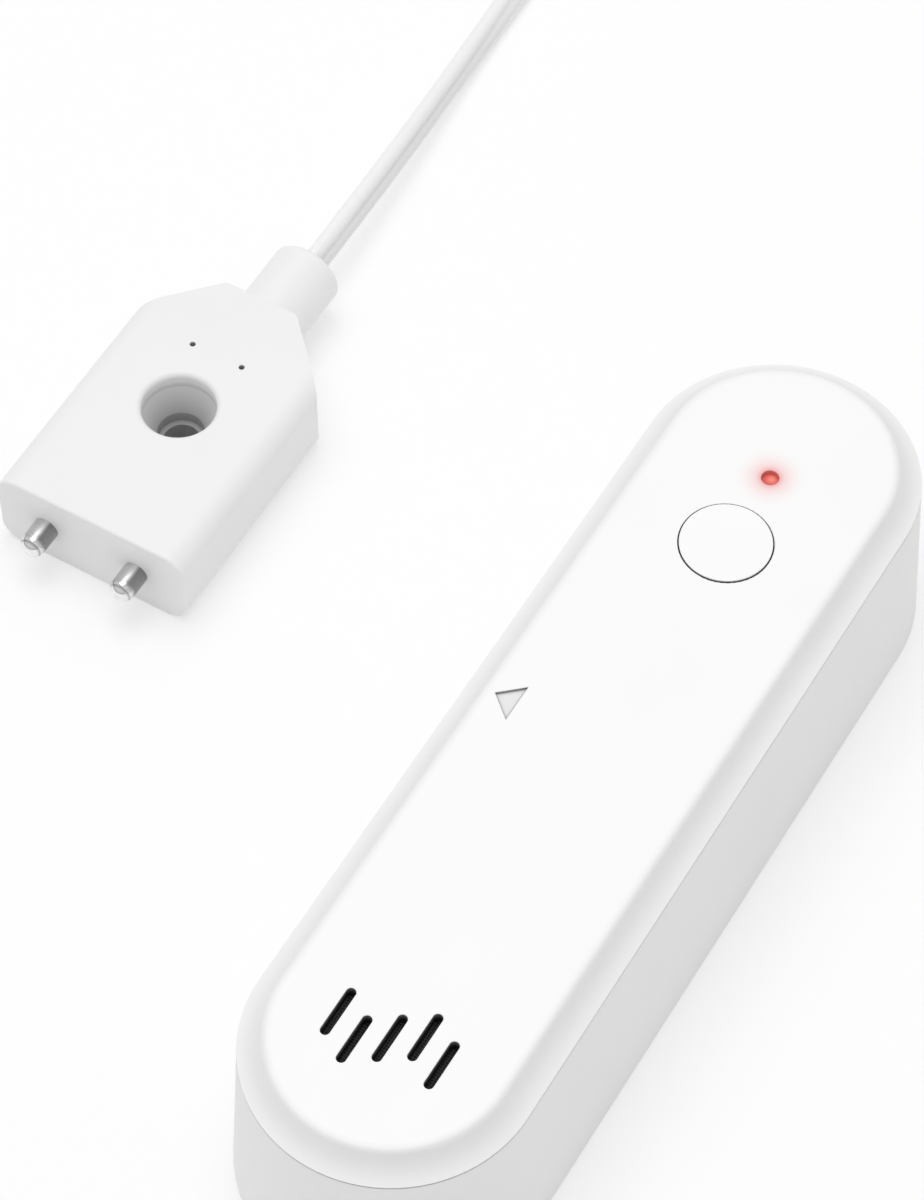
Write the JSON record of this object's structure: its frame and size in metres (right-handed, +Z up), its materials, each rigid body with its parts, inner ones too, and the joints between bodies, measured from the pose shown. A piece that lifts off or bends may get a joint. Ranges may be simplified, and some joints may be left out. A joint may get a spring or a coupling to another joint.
{
  "type": "water leak sensor",
  "caption": "Long rounded battery main unit with sound slots, button and status light; wired probe block with steel pins, screw hole and a flat lead ending in a plug.",
  "frame": {"origin": "on the floor under the middle of the main unit", "axes": "+X across the main unit, away from the probe; +Y along the main unit towards its button and light; +Z up"},
  "size_m": [0.1083, 0.2794, 0.0284],
  "materials": {
    "cover_white": "fine satin moulding",
    "base_white": "fine satin moulding",
    "button_white": "fine satin moulding",
    "door_white": "fine satin moulding",
    "probe_white": "fine satin moulding",
    "cord_white": "soft satin cable jacket",
    "collar_white": "soft satin cable jacket",
    "seal_grey": "matt",
    "pin_steel": "turned, polished tips",
    "screw_steel": "plated",
    "contact_nickel": "nickel plated",
    "plug_nickel": "nickel plated",
    "ring_black": "satin",
    "board_green": "solder mask, glossy",
    "chip_black": "matt epoxy",
    "shield_tin": "tinned",
    "wire_copper": "enamelled copper",
    "plate_brass": "rolled",
    "ceramic_grey": "silvered ceramic",
    "sounder_black": "satin",
    "foam_black": "open foam",
    "mesh_black": "woven",
    "led_red": "clear tinted",
    "guide_red": "clear, lit red from below",
    "socket_black": "satin",
    "cell_jacket": "printed film over a steel can, no print",
    "tie_white": "soft"
  },
  "bodies": {
    "main_unit_and_probe": {"base_shell": "base_white", "top_cover": "cover_white", "cover_seal": "seal_grey", "case_screws": "screw_steel", "switch_body": "chip_black", "status_led": "led_red", "light_guide": "guide_red", "sounder_case": "sounder_black", "sounder_plate": "plate_brass", "sounder_ceramic": "ceramic_grey", "sounder_foam": "foam_black", "sound_mesh": "mesh_black", "circuit_board": "board_green", "board_screws": "screw_steel", "radio_module": "board_green", "radio_shield": "shield_tin", "processor_chip": "chip_black", "sounder_coil_core": "chip_black", "sounder_coil_winding": "wire_copper", "capacitors": "shield_tin", "small_chips": "chip_black", "aerial_wire": "wire_copper", "socket_body": "socket_black", "socket_contacts": "contact_nickel", "battery_left": "cell_jacket", "battery_right": "cell_jacket", "battery_plus_contact": "contact_nickel", "battery_minus_contact": "contact_nickel", "battery_link_contact": "contact_nickel", "probe_body": "probe_white", "probe_base_cover": "probe_white", "sensing_pins": "pin_steel", "pin_crimps": "contact_nickel", "inner_leads": "cord_white", "strain_relief_collar": "collar_white", "probe_cord": "cord_white", "cord_coil": "cord_white", "cord_tail": "cord_white", "coil_tie": "tie_white", "plug_handle": "collar_white", "plug_sleeve": "plug_nickel", "plug_ring": "ring_black", "plug_tip": "plug_nickel"},
    "button": {"push_button": "button_white"},
    "plunger": {"switch_plunger": "chip_black"},
    "door": {"battery_door": "door_white"}
  },
  "joints": [
    {"name": "button_press", "type": "slide", "parent": "main_unit_and_probe", "child": "button", "axis": [0, 0, -1], "range_m": [0, 0.0005], "stiffness_N_per_m": 400, "springref_m": -0.001},
    {"name": "plunger_press", "type": "slide", "parent": "main_unit_and_probe", "child": "plunger", "axis": [0, 0, -1], "range_m": [0, 0.0005]},
    {"name": "door_swing", "type": "hinge", "parent": "main_unit_and_probe", "child": "door", "pos_m": [0, -0.02495, 0.0009], "axis": [-1, 0, 0], "range_deg": [0, 100]}
  ],
  "couplings": [
    {"joint": "plunger_press", "follows": "button_press", "ratio": 1}
  ]
}
